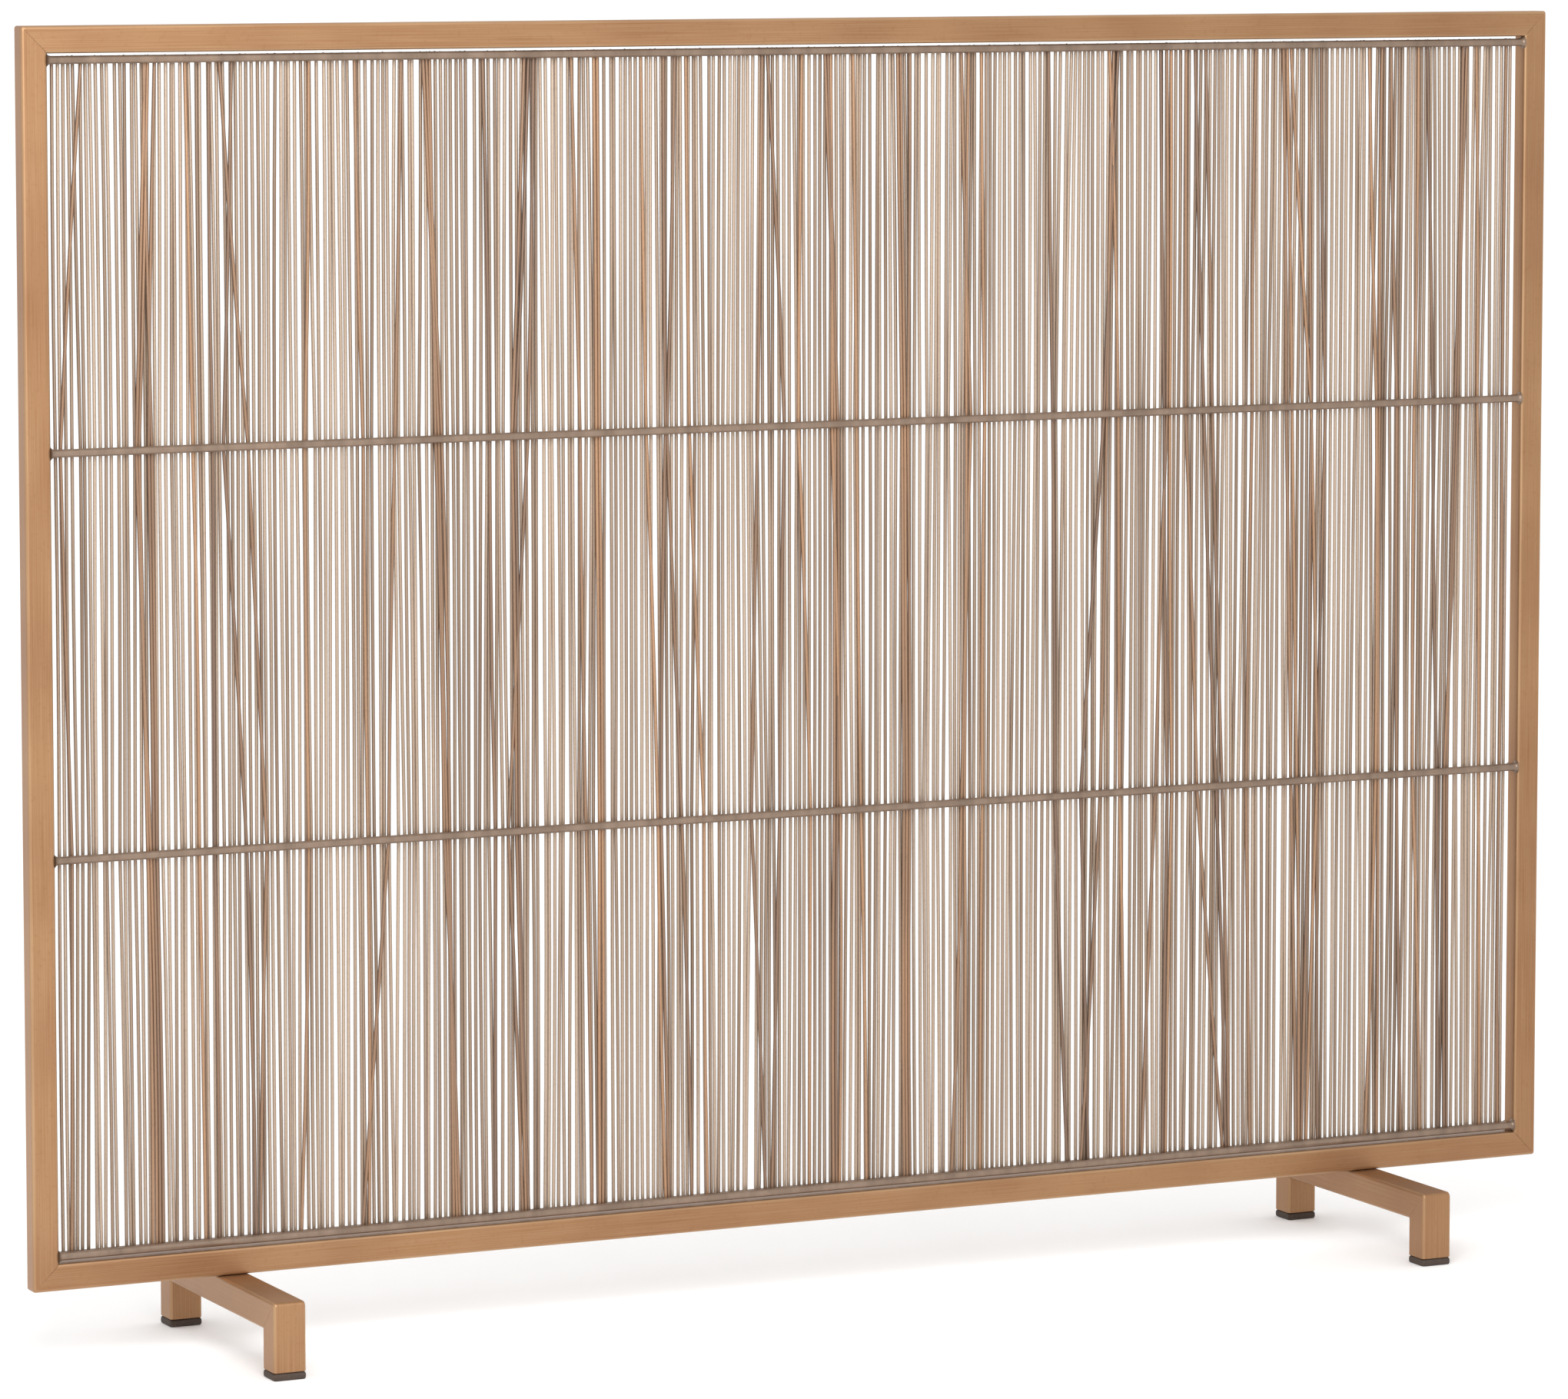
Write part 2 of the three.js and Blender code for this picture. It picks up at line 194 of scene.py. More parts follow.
# %% Wire and rod finish
def drawn_finish(name, brown, pale, rough_low, rough_high):
    finish, tree, shader = new_finish(name, metallic=0.6, coat=0.2, coat_roughness=0.3)
    place = put(tree, "ShaderNodeTexCoord")["Object"]
    flat = put(tree, "ShaderNodeMapping", {"Vector": place, "Scale": (1, 1, 0.06)})[0]
    drift = noise(tree, flat, 120.0, 3.0)
    speckle = noise(tree, place, 700.0, 2.0)
    tone = put(tree, "ShaderNodeAttribute", attribute_name="tone")["Fac"]
    mixed = put(tree, "ShaderNodeMath", {0: tone, 1: spread(tree, drift, 0.3, 0.7, -0.22, 0.22)},
                operation="ADD", use_clamp=True)[0]
    colour = blend_colours(tree, mixed, brown, pale)
    aged = blend_colours(tree, spread(tree, speckle, 0.55, 0.75, 0, 0.3), colour, brown)
    roughness = spread(tree, drift, 0.2, 0.8, rough_low, rough_high)
    finish_off(tree, shader, aged, roughness, speckle, 0.015 * mm)
    return finish


wire_brass = drawn_finish("wire_brass", (0.21, 0.135, 0.088, 1), (0.48, 0.37, 0.283, 1), 0.32, 0.5)
strand_brass = drawn_finish("strand_brass", (0.19, 0.122, 0.086, 1), (0.42, 0.245, 0.14, 1), 0.34, 0.5)
rod_brass = drawn_finish("rod_brass", (0.135, 0.09, 0.062, 1), (0.33, 0.235, 0.172, 1), 0.3, 0.42)
print("made", wire_brass.name, strand_brass.name, rod_brass.name)

# %% [markdown]
# ## Rubber and zinc
#
# The pads are plain dark rubber with a fine moulded grain. The hidden screws and nuts are zinc plated: a pale
# grey metal with faint cloudy patches.

# %% Rubber and zinc finishes
def plain_finish(name, metallic, dark, light, scale, rough_low, rough_high, bump_distance):
    finish, tree, shader = new_finish(name, metallic, 0.0, 0.3)
    place = put(tree, "ShaderNodeTexCoord")["Object"]
    grain = noise(tree, place, scale, 4.0)
    colour = blend_colours(tree, spread(tree, grain, 0.3, 0.7, 0, 1), dark, light)
    roughness = spread(tree, grain, 0.25, 0.75, rough_low, rough_high)
    finish_off(tree, shader, colour, roughness, grain, bump_distance)
    return finish


pad_rubber = plain_finish("pad_rubber", 0.0, (0.035, 0.022, 0.015, 1), (0.075, 0.05, 0.036, 1), 900.0,
                          0.62, 0.85, 0.05 * mm)
screw_zinc = plain_finish("screw_zinc", 0.9, (0.42, 0.42, 0.41, 1), (0.6, 0.6, 0.58, 1), 260.0,
                          0.28, 0.48, 0.02 * mm)
print("made", pad_rubber.name, "and", screw_zinc.name)

# %% [markdown]
# ## Skinning rings into a piece
#
# Tubes, pads, screws and nuts can all be seen as a stack of closed rings with the same number of points. One
# function joins each ring to the next with four-sided faces and closes the two ends. It also stores the two
# things that the finishes read: how far along the piece a point lies, and how much painted highlight it gets
# where it lies on a rounded edge.

# %% Skin a stack of rings
def skin_rings(name, rings, edge_sheen, along, finish, sharp_degrees=38):
    count = len(rings[0])
    mesh = bpy.data.meshes.new(name)
    points = [tuple(point) for ring in rings for point in ring]
    faces = []
    for level in range(len(rings) - 1):
        for step in range(count):
            here, there = level * count + step, level * count + (step + 1) % count
            faces.append((here, there, there + count, here + count))
    faces.append(tuple(reversed(range(count))))
    faces.append(tuple(range((len(rings) - 1) * count, len(rings) * count)))
    mesh.from_pydata(points, [], faces)
    piece = bpy.data.objects.new(name, mesh)
    bpy.context.scene.collection.objects.link(piece)

    # Per point: how much painted highlight the brass finish lays on the rounded edges.
    mesh.attributes.new("edge_sheen", "FLOAT", "POINT").data.foreach_set("value", np.ravel(edge_sheen))
    girth = [0.0]
    for step in range(1, count + 1):
        girth.append(girth[-1] + math.dist(rings[0][step - 1], rings[0][step % count]))
    uv_map = mesh.uv_layers.new(name="along")
    for face in mesh.polygons:
        steps = [vertex % count for vertex in face.vertices]
        wraps = max(steps) - min(steps) == count - 1 and len(steps) == 4
        for corner, vertex, step in zip(face.loop_indices, face.vertices, steps):
            around = girth[count] if wraps and step == 0 else girth[step]
            uv_map.data[corner].uv = (along[vertex // count], around)

    shape = bmesh.new()
    shape.from_mesh(mesh)
    bmesh.ops.recalc_face_normals(shape, faces=shape.faces)
    shape.to_mesh(mesh)
    shape.free()
    mesh.shade_smooth()
    mesh.set_sharp_from_angle(angle=math.radians(sharp_degrees))
    mesh.materials.append(finish)
    return piece


def settle(piece, node):
    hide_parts(node)
    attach(piece, "root")
    return piece


print("ring skinning ready")

# %% [markdown]
# ## A length of tube with mitred ends
#
# The frame and the feet are made of rectangular tube, cut at 45 degrees and welded, and the weld is ground flush.
# What the eye catches is small: rounded edges along the tube, a hair-line groove at the seam and a corner that the
# grinding has softened. A box with bevels would lose the seam, so the tube is skinned from rings. Its section is a
# rounded rectangle, and the last few rings follow the 45 degree cut and dip at the outer side.

# %% Tube section
def rounded_section(half_v, half_w, corner, steps=5, support=0.4 * mm):
    """Points (v, w) round a rounded rectangle, and how much each lies on a rounded edge."""
    points, edge_share = [], []
    for side, (sign_v, sign_w) in enumerate([(1, 1), (-1, 1), (-1, -1), (1, -1)]):
        middle_v, middle_w = sign_v * (half_v - corner), sign_w * (half_w - corner)
        for step in range(-1, steps + 2):
            turn = math.radians(90 * side + 90 * min(max(step / steps, 0), 1))
            v = middle_v + corner * math.cos(turn)
            w = middle_w + corner * math.sin(turn)
            if step < 0:
                v, w = v + support * math.sin(turn), w - support * math.cos(turn)
            if step > steps:
                v, w = v - support * math.sin(turn), w + support * math.cos(turn)
            points.append((v, w))
            # How much painted highlight this point gets: most at the middle of a rounded edge, none on the flats.
            edge_share.append(max(0.0, math.sin(math.pi * step / steps)) if 0 <= step <= steps else 0.0)
    return points, edge_share


print("a tube section has", len(rounded_section(1, 1, 0.1)[0]), "points")

# %% Tube with mitred or square ends
square_end_bevel = 0.35 * mm


def mitre_steps(softening):
    """(distance from the corner, dip) for the rings that round a mitred corner, from the seam inwards."""
    turns = [math.radians(45 * step / 3) for step in (3, 2, 1, 0)]
    return [(softening * (1 - math.sin(turn)), softening * (1 - math.cos(turn))) for turn in turns]


def tube_end(section, half_length, half_v, softening, mitred):
    """Rings of (u, v, w) for the tube's far end, from its tip inwards."""
    rings = []
    if not mitred:
        for back, shrink in ((0.0, square_end_bevel), (square_end_bevel, 0.0)):
            rings.append([(half_length - back, v - math.copysign(shrink, v), w - math.copysign(shrink, w))
                          for v, w in section])
        return rings
    steps = mitre_steps(softening)
    nearest = steps[0][0]
    dips = [(nearest, steps[0][1], 0.0, seam_groove)]
    dips += [(back, dip, seam_groove, 0.0) for back, dip in steps]
    for back, dip, set_back, shrink in dips:
        ring = []
        for v, w in section:
            share = min(max((v - half_v + 3 * softening) / (1.6 * softening), 0), 1)
            u = half_length - (half_v - v) - (back - nearest * (1 - share)) - set_back
            ring.append((u, v - dip * share - math.copysign(shrink, v), w - math.copysign(shrink, w)))
        rings.append(ring)
    return rings


def tube_length(name, half_length, half_v, half_w, corner, softening, ends, place, finish):
    """A tube along u whose outer side faces +v. place turns (u, v, w) into a point on the screen."""
    section, edge_share = rounded_section(half_v, half_w, corner)
    far = tube_end(section, half_length, half_v, softening, ends[1])
    near = [[(-u, v, w) for u, v, w in ring]
            for ring in tube_end(section, half_length, half_v, softening, ends[0])]
    rings = near + far[::-1]
    along = [sum(u for u, v, w in ring) / len(ring) for ring in rings]
    # The same painted edge highlight share in every ring.
    edge_sheen = [edge_share] * len(rings)
    placed = [[place(u, v, w) for u, v, w in ring] for ring in rings]
    return skin_rings(name, placed, edge_sheen, along, finish)


print("tube ends ready")

# %% [markdown]
# ## The frame
#
# Four tubes make the frame: two rails and two stiles. The same function makes all four. Only the way their length
# and their outer side point on the screen differs, and that is what each place function says.

# %% Rails and stiles
def build_frame():
    half_v, half_w = tube_face / 2, tube_depth / 2
    middle = (frame_top + frame_bottom) / 2
    half_height = (frame_top - frame_bottom) / 2
    members = [
        ("top_rail", frame_half_width, lambda u, v, w: (u, w, frame_top - half_v + v)),
        ("bottom_rail", frame_half_width, lambda u, v, w: (u, w, frame_bottom + half_v - v)),
        ("right_stile", half_height, lambda u, v, w: (frame_half_width - half_v + v, w, middle + u)),
        ("left_stile", half_height, lambda u, v, w: (-frame_half_width + half_v - v, w, middle + u)),
    ]
    for name, half_length, place in members:
        tube = tube_length(f"{name}_tube", half_length, half_v, half_w, tube_corner, corner_softening,
                           (True, True), place, frame_brass)
        settle(tube, name)
    return len(members)


print("frame members:", build_frame())

# %% [markdown]
# ## Geometry Nodes: from lines to round stock
#
# Rods and wires are round stock that follows a line. Skinning each by hand would be slow, so a Geometry Nodes tree
# does it. The tree takes a mesh of plain lines, turns each line into a curve and sweeps a circle along it. Where a
# point is marked as a weld it also sets a small bead, squashed a little differently each time. The
# instances are realized at the end, so that the result is one plain mesh.

# %% Tree for round stock with weld beads
def make_round_stock_tree():
    tree = bpy.data.node_groups.new("round stock", "GeometryNodeTree")
    sockets = tree.interface
    sockets.new_socket("Lines", in_out="INPUT", socket_type="NodeSocketGeometry")
    for name in ("Radius", "Bead Radius"):
        sockets.new_socket(name, in_out="INPUT", socket_type="NodeSocketFloat")
    for name in ("Sides", "Seed"):
        sockets.new_socket(name, in_out="INPUT", socket_type="NodeSocketInt")
    sockets.new_socket("Bead Shift", in_out="INPUT", socket_type="NodeSocketVector")
    sockets.new_socket("Finish", in_out="INPUT", socket_type="NodeSocketMaterial")
    sockets.new_socket("Stock", in_out="OUTPUT", socket_type="NodeSocketGeometry")
    given = put(tree, "NodeGroupInput")

    girth = put(tree, "GeometryNodeInputNamedAttribute", {"Name": "girth"}, data_type="FLOAT")[0]
    marked = put(tree, "GeometryNodeInputNamedAttribute", {"Name": "welded"}, data_type="BOOLEAN")[0]
    curves = put(tree, "GeometryNodeMeshToCurve", {"Mesh": given["Lines"]})[0]
    circle = put(tree, "GeometryNodeCurvePrimitiveCircle",
                 {"Resolution": given["Sides"], "Radius": given["Radius"]})[0]
    swept = put(tree, "GeometryNodeCurveToMesh",
                {"Curve": curves, "Profile Curve": circle, "Scale": girth, "Fill Caps": True})[0]

    bead = put(tree, "GeometryNodeMeshUVSphere",
               {"Segments": 7, "Rings": 4, "Radius": given["Bead Radius"]})[0]
    size = put(tree, "FunctionNodeRandomValue",
               {"Min": (0.85, 0.8, 0.7), "Max": (1.25, 1.0, 1.2), "Seed": given["Seed"]},
               data_type="FLOAT_VECTOR")[0]
    beads = put(tree, "GeometryNodeInstanceOnPoints",
                {"Points": given["Lines"], "Selection": marked, "Instance": bead, "Scale": size})[0]
    shifted = put(tree, "GeometryNodeTranslateInstances",
                  {"Instances": beads, "Translation": given["Bead Shift"], "Local Space": False})[0]
    real = put(tree, "GeometryNodeRealizeInstances", {"Geometry": shifted})[0]

    join = tree.nodes.new("GeometryNodeJoinGeometry")
    tree.links.new(swept, join.inputs[0])
    tree.links.new(real, join.inputs[0])
    smooth = put(tree, "GeometryNodeSetShadeSmooth", {"Geometry": join.outputs[0]})[0]
    finished = put(tree, "GeometryNodeSetMaterial", {"Geometry": smooth, "Material": given["Finish"]})[0]
    put(tree, "NodeGroupOutput", {0: finished})
    return tree


round_stock = make_round_stock_tree()
print("round stock tree has", len(round_stock.nodes), "nodes")

# %% [markdown]
# ## Running the tree
#
# A modifier's inputs are set by each socket's identifier, not by its name. The evaluated result is copied into a
# new plain mesh, so the modifier is gone before the piece is given its place in the frame.

# %% Make round stock from lines
def round_pieces(name, lines, tones, girths, welded, settings):
    """lines is a list of point lists. The other lists give one value for each point of each line."""
    points = [point for line in lines for point in line]
    edges, start = [], 0
    for line in lines:
        edges += [(start + step, start + step + 1) for step in range(len(line) - 1)]
        start += len(line)
    mesh = bpy.data.meshes.new(name + "_lines")
    mesh.from_pydata(points, edges, [])
    stored = (("tone", "FLOAT", tones), ("girth", "FLOAT", girths), ("welded", "BOOLEAN", welded))
    for label, kind, values in stored:
        flat = [value for line in values for value in line]
        mesh.attributes.new(label, kind, "POINT").data.foreach_set("value", flat)
    source = bpy.data.objects.new(name + "_lines", mesh)
    bpy.context.scene.collection.objects.link(source)

    modifier = source.modifiers.new("Round stock", "NODES")
    modifier.node_group = round_stock
    for item in round_stock.interface.items_tree:
        if item.name in settings:
            modifier[item.identifier] = settings[item.name]
    evaluated = source.evaluated_get(bpy.context.evaluated_depsgraph_get())
    made = bpy.data.meshes.new_from_object(evaluated)
    made.name = name
    piece = bpy.data.objects.new(name, made)
    bpy.context.scene.collection.objects.link(piece)
    bpy.data.objects.remove(source)
    bpy.data.meshes.remove(mesh)
    return piece


print("round stock maker ready")

# %% [markdown]
# ## The cross rods
#
# A rod is straight, but where it meets a stile a small fillet of weld swells it. The line's girth attribute scales
# the swept circle, so a few points close to each end give the fillet its hollow flare.

# %% Cross rods
# The fillet: distance from the stile, and how much the rod is swelled there.
flare = [(-0.1 * mm, 1.75), (0.5 * mm, 1.42), (1.1 * mm, 1.2), (1.9 * mm, 1.06), (3 * mm, 1.0)]
rod_sides = 20
rod_tone = 0.5


def build_rods():
    inner = frame_half_width - tube_face
    stops = [(-inner + back, girth) for back, girth in flare]
    stops += [(-inner + 2 * inner * share, 1.0) for share in (0.25, 0.5, 0.75)]
    stops += [(inner - back, girth) for back, girth in reversed(flare)]
    names = [f"{place}_{kind}" for place in rod_places for kind in ("rod", "back_rod")]
    for name in names:
        low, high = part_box(name)
        middle, radius = (low + high) / 2, (high.z - low.z) / 2
        line = [(x, middle.y, middle.z) for x, girth in stops]
        settings = {"Radius": radius, "Bead Radius": radius, "Sides": rod_sides, "Seed": 0, "Finish": rod_brass}
        rod = round_pieces(f"{name}_stock", [line], [[rod_tone] * len(line)], [[girth for x, girth in stops]],
                           [[False] * len(line)], settings)
        settle(rod, name)
    return len(names)


print("cross rods:", build_rods())

# %% [markdown]
# ## The wires
#
# Wires are never quite straight: each leans a hair, bends where it is held at a rod and bows between rods. The
# close rear row follows the frame's own rule for where a wire passes each rod: even places, a drift of the whole
# row in slow waves, a few partings where light shows through, and a small stray of each wire. The front wires are
# listed one by one, because their loose bunches and single strays give the screen its look.

# %% Where the rear wires stand
bank_count, rear_per_bank, rear_pitch = 8, 36, 3.22 * mm
rear_jitter, rear_bow = 1.15 * mm, 0.45 * mm
even_edge = 4                       # this many wires at each side of a bank come back to their even places
waves = [(71 * mm, 0.5 * mm), (31 * mm, 0.35 * mm), (17.3 * mm, 0.2 * mm)]     # length and size of each wave
wave_shift = 2.4                    # how far a wave moves on from one rod to the next, in radians
# The places where the row parts, and the push at each rod from the top, all in millimetres.
partings = [
    (-428, (0, 0, 0.3, 1.2)), (-362, (1.2, 0.6, 0, 0)), (-215, (0.4, 1.2, 0.3, 0)), (-42, (0, 0, 0.2, 1)),
    (-1, (0.8, 1.5, 1.5, 0.4)), (276, (0, 1, 0, 0)), (447, (0, 1.2, 0.3, 0)),
]
parting_reach = 7 * mm


def stray(i, lane):
    """A repeatable spread of values from -1 to 1, the same one that the frame uses."""
    value = math.sin(i * 12.9898 + lane * 78.233) * 43758.5453
    return 2 * (value - math.floor(value)) - 1


def sway(x, level):
    """How far the row as a whole has drifted at x, at rod number level from the top."""
    drift = sum(size * math.sin(2 * math.pi * x / length + wave_shift * level * (wave + 1))
                for wave, (length, size) in enumerate(waves))
    for place, pushes in partings:
        away = x - place * mm
        drift += pushes[level] * mm * math.copysign(math.exp(-abs(away) / parting_reach), away)
    return drift


def rear_places(bank, step):
    i = bank * rear_per_bank + step
    x = rear_pitch * (i - (bank_count * rear_per_bank - 1) / 2)
    free = min(1, min(step, rear_per_bank - 1 - step) / even_edge)
    return [x + free * (sway(x, level) + rear_jitter * stray(i, level + 1)) for level in range(4)]


print("the first rear wire passes the rods at", [round(x, 4) for x in rear_places(0, 0)])

# %% How a wire runs
steps_per_span = 3
wire_sides = 6
bead_radius = 1.2 * wire_radius
bead_seed = 7


def wire_run(places, bows, y):
    """The points of a wire that passes the four rods at the given places, and which of them are welded."""
    heights = [rod_heights[0] + wire_overrun, rod_heights[1], rod_heights[2], rod_heights[3] - wire_overrun]
    line, welded = [], []
    for span in range(3):
        for step in range(steps_per_span):
            share = step / steps_per_span
            x = places[span] + (places[span + 1] - places[span]) * share + bows[span] * math.sin(math.pi * share)
            line.append((x, y, heights[span] + (heights[span + 1] - heights[span]) * share))
            welded.append(step == 0)
    return line + [(places[3], y, heights[3])], welded + [True]


def wire_bank(name, node, runs, tones, finish, bead_shift):
    lines = [line for line, welded in runs]
    settings = {"Radius": wire_radius, "Bead Radius": bead_radius, "Sides": wire_sides, "Seed": bead_seed,
                "Bead Shift": (0, bead_shift, 0), "Finish": finish}
    bank = round_pieces(name, lines, [[tone] * len(line) for tone, line in zip(tones, lines)],
                        [[1.0] * len(line) for line in lines], [welded for line, welded in runs], settings)
    return settle(bank, node)


print("a wire has", len(wire_run(rear_places(0, 0), (0, 0, 0), 0)[0]), "points")

# %% Rear wires
rear_tone, rear_tone_spread = 0.6, 0.36
rear_bow_lanes, rear_tone_lane = (5, 6, 7), 8
rear_bead_shift = 0.6 * wire_radius


def build_rear_wires():
    for bank in range(bank_count):
        runs, tones = [], []
        for step in range(rear_per_bank):
            i = bank * rear_per_bank + step
            bows = [rear_bow * stray(i, lane) for lane in rear_bow_lanes]
            runs.append(wire_run(rear_places(bank, step), bows, rear_wire_y))
            tones.append(rear_tone + rear_tone_spread * stray(i, rear_tone_lane))
        wire_bank(f"rear_wires_{bank + 1}_stock", f"rear_wires_{bank + 1}", runs, tones, wire_brass,
                  rear_bead_shift)
    return bank_count * rear_per_bank


print("rear wires:", build_rear_wires())

# %% Front wires
# Bank by bank, in millimetres: the wire's place at the four rods, from the top.
front_wires = [
    [(-446, -460, -455.5, -458), (-410, -407, -406, -404), (-403.5, -408.8, -407.8, -406),
     (-409, -416, -409.6, -408), (-407.5, -414.4, -411.4, -410.2), (-358.5, -365, -353, -349),
     (-372, -371.3, -372, -371), (-366, -350.5, -341, -346.5), (-386, -383, -381, -379)],
    [(-286, -282, -280.5, -281), (-258, -263, -268, -285), (-245, -236.5, -232.5, -227.5),
     (-243, -234.6, -230.8, -229.5), (-241, -238.4, -234.2, -225.8), (-313, -317, -316, -322)],
    [(-209, -205.5, -203, -204), (-183.5, -192, -190, -185), (-181, -190.2, -188.2, -183.2),
     (-178, -182, -195, -187), (-141, -140, -138.6, -139), (-139, -138.1, -136.8, -137.1),
     (-155, -150, -147, -144)],
    [(-112, -109, -102, -97.5), (-98, -97, -100, -95.6), (-91, -96, -87, -81), (-84, -82, -73, -71),
     (-33, -22, -25, -30), (-36, -39, -43, -34), (-11, -13.2, -5.2, -6)],
    [(3.5, 10.2, 10, 9.6), (5.4, 12.1, 11.9, 11.5), (7.2, 8.3, 13.8, 13.4), (21.5, 24, 27, 31),
     (50, 53.2, 55, 55.5), (52, 55.1, 56.9, 57.4), (58, 57, 58.8, 59.3), (91, 98, 92.4, 86.5),
     (96, 95, 94.3, 95), (104, 107, 106, 105)],
    [(148, 151.5, 154, 163), (194, 185.5, 171, 177), (191, 187.4, 184, 172), (188, 195, 197, 201),
     (226, 227.5, 221, 213), (222, 225.6, 229, 227), (229, 229.4, 232, 229)],
    [(239, 240, 249, 268), (245, 252.3, 262, 270), (252, 258, 266, 272), (286, 285, 282.3, 286.5),
     (304.5, 308, 313, 318), (307, 312, 317, 319.9), (309.5, 325, 331, 325), (322, 325.3, 325.3, 321.8),
     (330, 335, 331, 333)],
    [(363, 370, 371.4, 366), (372, 372, 373.3, 374), (378, 384, 386, 391), (397, 396, 397, 404),
     (403, 409, 414, 417), (428, 424.4, 421, 423), (430.5, 426.2, 419.2, 421.2), (437, 440, 443, 446),
     (458, 457.5, 458, 459)],
]
front_bow = 0.9 * mm
front_tone, front_tone_spread = 0.5, 0.45
front_bow_lanes, front_tone_lane = (15, 16, 17), 18
front_bead_shift = -0.5 * wire_radius


def build_front_wires():
    count = 0
    for bank, wires in enumerate(front_wires):
        runs, tones = [], []
        for places in wires:
            count += 1
            bows = [front_bow * stray(count, lane) for lane in front_bow_lanes]
            runs.append(wire_run([x * mm for x in places], bows, front_wire_y))
            tones.append(front_tone + front_tone_spread * stray(count, front_tone_lane))
        wire_bank(f"front_wires_{bank + 1}_stock", f"front_wires_{bank + 1}", runs, tones, strand_brass,
                  front_bead_shift)
    return count


print("front wires:", build_front_wires())

# %% [markdown]
# ## The feet
#
# A foot is a low bridge: an arm from front to back and a leg under each end. Both are the same tube as the frame's
# but wider, and their mitred corners are ground rounder. Under the arm are two holes through which the fixing
# screws are driven, cut here with a Boolean.

# %% Arms and legs
screw_spacing = abs(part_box("right_foot_screw_1")[0].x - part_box("right_foot_screw_2")[0].x)
hole_radius = 4.3 * mm
well_points = 24
well_start = 2 * mm                 # how far below the arm the cutter starts
well_stop = 1.5 * mm                # how far under the arm's top it ends
feet = (("left", -foot_centre), ("right", foot_centre))


def screw_wells(x):
    """Round cutters for the two holes under an arm."""
    cutters = []
    for side in (-0.5, 0.5):
        ring = [(x + side * screw_spacing + hole_radius * math.cos(turn), hole_radius * math.sin(turn))
                for turn in np.linspace(0, 2 * math.pi, well_points, endpoint=False)]
        levels = (foot_top - foot_thick - well_start, foot_top - well_stop)
        rings = [[(a, b, level) for a, b in ring] for level in levels]
        cutters.append(skin_rings("well_cutter", rings, np.zeros((2, well_points)), levels, frame_brass))
    return cutters


def cut_out(piece, cutters):
    for cutter in cutters:
        cut = piece.modifiers.new("Cut", "BOOLEAN")
        cut.object, cut.operation, cut.solver = cutter, "DIFFERENCE", "EXACT"
    evaluated = piece.evaluated_get(bpy.context.evaluated_depsgraph_get())
    piece.data, old = bpy.data.meshes.new_from_object(evaluated), piece.data
    piece.modifiers.clear()
    bpy.data.meshes.remove(old)
    for cutter in cutters:
        bpy.data.objects.remove(cutter)


def build_foot(side, x):
    half_thick = foot_thick / 2
    leg_half = (foot_top - pad_height) / 2
    leg_middle = (foot_top + pad_height) / 2
    arm = tube_length(f"{side}_foot_arm_tube", foot_half_depth, half_thick, foot_half_width, foot_corner,
                      foot_softening, (True, True),
                      lambda u, v, w: (x + w, u, foot_top - half_thick + v), frame_brass)
    cut_out(arm, screw_wells(x))
    settle(arm, f"{side}_foot_arm")
    for end, way in (("front", -1), ("back", 1)):
        leg = tube_length(f"{side}_foot_{end}_leg_tube", leg_half, half_thick, foot_half_width, foot_corner,
                          foot_softening, (False, True),
                          lambda u, v, w: (x + w, way * (foot_half_depth - half_thick + v), leg_middle + u),
                          frame_brass)
        settle(leg, f"{side}_foot_{end}_leg")


for side, x in feet:
    build_foot(side, x)
print("feet at", round(foot_centre, 3), "m either side of the middle")

# %% [markdown]
# ## The pads
#
# A rubber pad is pressed into the end of each leg. Its foot bulges a little under the weight, and its edges are
# moulded round. Rings that grow and shrink with the height give that outline.

# %% Pads
# Height above the floor, and how far the outline stands out there, in millimetres. The last three are the plug.
pad_outline = [
    (0.0, -1.1), (0.12, -0.5), (0.4, -0.15), (1.0, 0.05), (2.0, 0.12), (3.0, 0.05), (3.6, -0.15), (3.95, -0.55),
    (3.96, -1.6), (9.0, -2.0), (10.4, -2.6),
]


def build_pad(side, end, x, y):
    low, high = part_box(f"{side}_foot_{end}_pad")
    half_deep, half_wide = (high.y - low.y) / 2, (high.x - low.x) / 2
    rings = []
    for level, grow in pad_outline:
        section = rounded_section(half_deep + grow * mm, half_wide + grow * mm, foot_corner)[0]
        rings.append([(x + w, y + v, level * mm) for v, w in section])
    pad = skin_rings(f"{side}_foot_{end}_pad_rubber", rings, np.zeros((len(rings), len(rings[0]))),
                     [level * mm for level, grow in pad_outline], pad_rubber)
    return settle(pad, f"{side}_foot_{end}_pad")


leg_middle_y = foot_half_depth - foot_thick / 2
for side, x in feet:
    for end, y in (("front", -leg_middle_y), ("back", leg_middle_y)):
        build_pad(side, end, x, y)
print("pads: 4")

# %% [markdown]
# ## Screws and nuts
#
# Two screws hold each foot to the bottom rail. Nobody sees them unless the screen is turned over, but they are
# real pieces, so each gets a domed head with a six-sided socket and a ridged shank, and each nut its chamfered
# flats. Both are stacks of rings again. The socket's rings run round a hexagon instead of a circle.

# %% Screws and nuts
ring_points = 24
shank_radius, head_tall = 2.0 * mm, 2.2 * mm
socket_depth, socket_floor, socket_mouth = 1.5 * mm, 1.2 * mm, 1.25 * mm
thread_pitch, thread_depth = 0.7 * mm, 0.35 * mm
plain_below, plain_above = 0.2 * mm, 0.8 * mm       # the lengths of shank without a thread
nut_chamfer, nut_bore = 0.4 * mm, 2.05 * mm


def turned_ring(x, y, z, radius, hexagonal=False):
    ring = []
    for step in range(ring_points):
        turn = 2 * math.pi * step / ring_points
        reach = radius
        if hexagonal:
            reach = radius / math.cos((turn % (math.pi / 3)) - math.pi / 6)
        ring.append((x + reach * math.cos(turn), y + reach * math.sin(turn), z))
    return ring


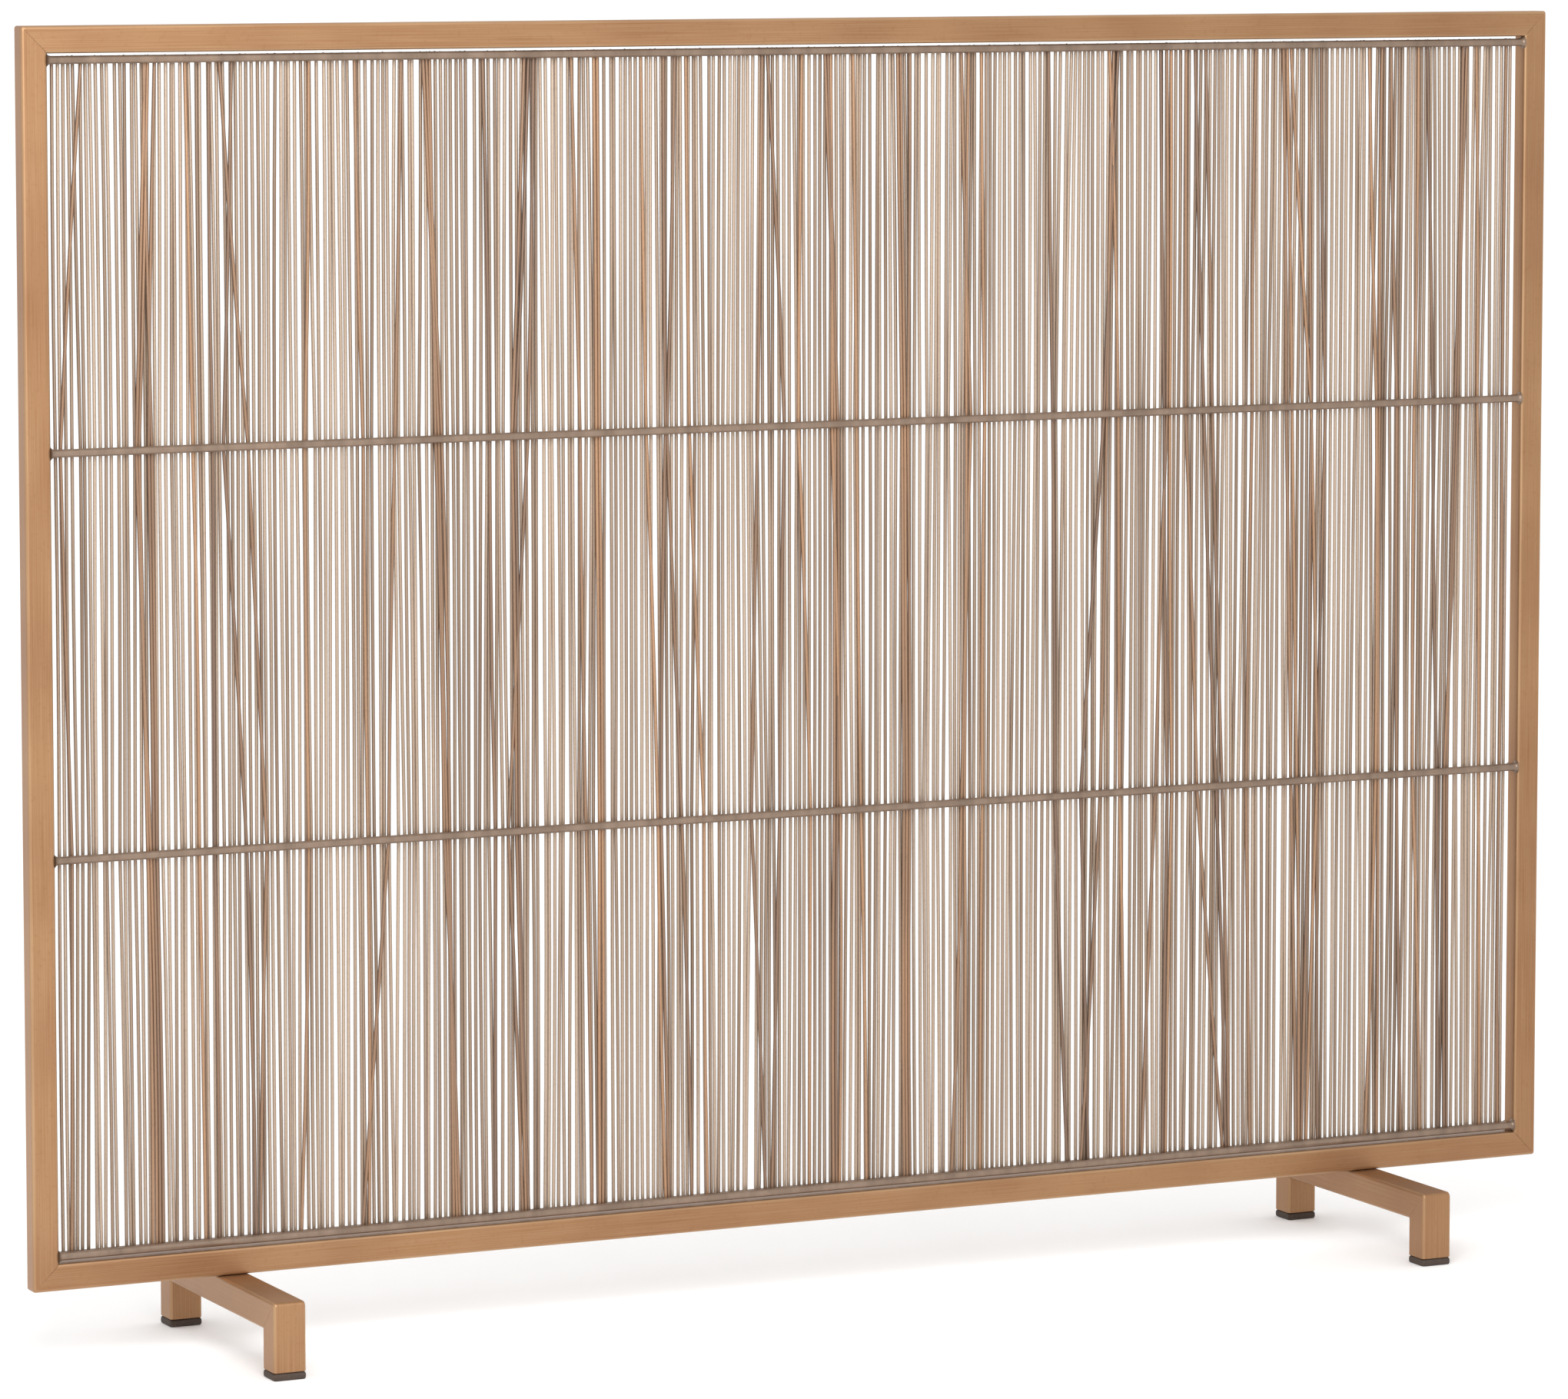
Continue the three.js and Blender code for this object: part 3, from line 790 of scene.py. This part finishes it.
def build_screw(node):
    low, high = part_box(node)
    x, head = (low.x + high.x) / 2, (high.x - low.x) / 2
    levels = [(socket_depth, socket_floor, True), (0, socket_mouth, True), (0, head * 0.72, False),
              (0.35 * mm, head * 0.9, False), (0.9 * mm, head, False), (head_tall, head, False),
              (head_tall, shank_radius, False)]
    z = head_tall + plain_below
    while low.z + z < high.z - plain_above:
        levels += [(z, shank_radius - thread_depth * 0.6, False), (z + thread_pitch / 2, shank_radius, False)]
        z += thread_pitch
    levels.append((high.z - low.z, shank_radius * 0.7, False))
    rings = [turned_ring(x, 0, low.z + level, radius, hexagonal) for level, radius, hexagonal in levels]
    screw = skin_rings(f"{node}_zinc", rings, np.zeros((len(rings), ring_points)),
                       [level for level, radius, hexagonal in levels], screw_zinc)
    return settle(screw, node)


def build_nut(node):
    low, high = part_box(node)
    x = (low.x + high.x) / 2
    flats = (high.y - low.y) / 2
    levels = [(low.z, flats * 0.9, False), (low.z + nut_chamfer, flats, True),
              (high.z - nut_chamfer, flats, True), (high.z, flats * 0.9, False), (high.z, nut_bore, False)]
    rings = [turned_ring(x, 0, z, radius, hexagonal) for z, radius, hexagonal in levels]
    nut = skin_rings(f"{node}_zinc", rings, np.zeros((len(rings), ring_points)), [z for z, r, h in levels],
                     screw_zinc)
    return settle(nut, node)


for side in ("left", "right"):
    for number in (1, 2):
        build_screw(f"{side}_foot_screw_{number}")
        build_nut(f"{side}_foot_nut_{number}")
print("screws and nuts: 8")

# %% [markdown]
# ## Floor, light and camera
#
# The screen stands on a plain pale floor in soft white light, as in a studio. The floor glows very slightly, so
# that only a faint shadow is left under the feet. The sky is white in every direction, a large soft light from the
# left front makes that side a little brighter, and nothing casts a hard shadow. The camera stands to the left of
# the screen and looks slightly down through a long lens.

# %% Floor
floor_half = 40.0
floor_white, floor_roughness, floor_glow = 0.95, 0.9, 0.08


def build_floor():
    mesh = bpy.data.meshes.new("floor")
    corners = [(x * floor_half, y * floor_half, 0) for x, y in ((-1, -1), (1, -1), (1, 1), (-1, 1))]
    mesh.from_pydata(corners, [], [(0, 1, 2, 3)])
    floor = bpy.data.objects.new("floor", mesh)
    bpy.context.scene.collection.objects.link(floor)
    paint = bpy.data.materials.new("pale floor")
    paint.use_nodes = True
    shader = paint.node_tree.nodes["Principled BSDF"]
    shader.inputs["Base Color"].default_value = (floor_white, floor_white, floor_white, 1)
    shader.inputs["Roughness"].default_value = floor_roughness
    shader.inputs["Emission Color"].default_value = (1, 1, 1, 1)
    shader.inputs["Emission Strength"].default_value = floor_glow
    mesh.materials.append(paint)
    return floor


print("made", build_floor().name)

# %% Light
sky_strength = 1.06
softbox_size, softbox_power = 0.9, 17           # metres and watts
softbox_place = (-0.68, -1.3, 1.2)
softbox_target = (-0.5, 0, 0.5)


def build_light():
    world = bpy.data.worlds.new("white studio")
    bpy.context.scene.world = world
    world.use_nodes = True
    tree = world.node_tree
    tree.nodes.clear()
    sky = put(tree, "ShaderNodeBackground", {"Color": (1, 1, 1, 1), "Strength": sky_strength})[0]
    put(tree, "ShaderNodeOutputWorld", {"Surface": sky})

    lamp = bpy.data.lights.new("left softbox", "AREA")
    lamp.shape, lamp.size, lamp.size_y, lamp.energy = "RECTANGLE", softbox_size, softbox_size, softbox_power
    softbox = bpy.data.objects.new("left softbox", lamp)
    bpy.context.scene.collection.objects.link(softbox)
    softbox.location = softbox_place
    softbox.visible_camera = False
    softbox.rotation_euler = (Vector(softbox_target) - softbox.location).to_track_quat("-Z", "Y").to_euler()
    bpy.context.scene.view_settings.view_transform = "Standard"
    return lamp


print("lit by a white sky and", build_light().name)

# %% Camera
camera_place = (-1.753, -3.585, 0.819)
camera_turn = math.radians(25.77)   # to the right of straight ahead
camera_dip = math.radians(5.492)
image_width = 2040


def build_camera():
    lens = bpy.data.cameras.new("camera")
    lens.sensor_width = 36
    lens.lens = 160.3
    lens.shift_y = -200 / image_width
    camera = bpy.data.objects.new("camera", lens)
    bpy.context.scene.collection.objects.link(camera)
    camera.location = camera_place
    camera.rotation_euler = (math.pi / 2 - camera_dip, 0, -camera_turn)
    bpy.context.scene.camera = camera
    return camera


print("looking through", build_camera().name)
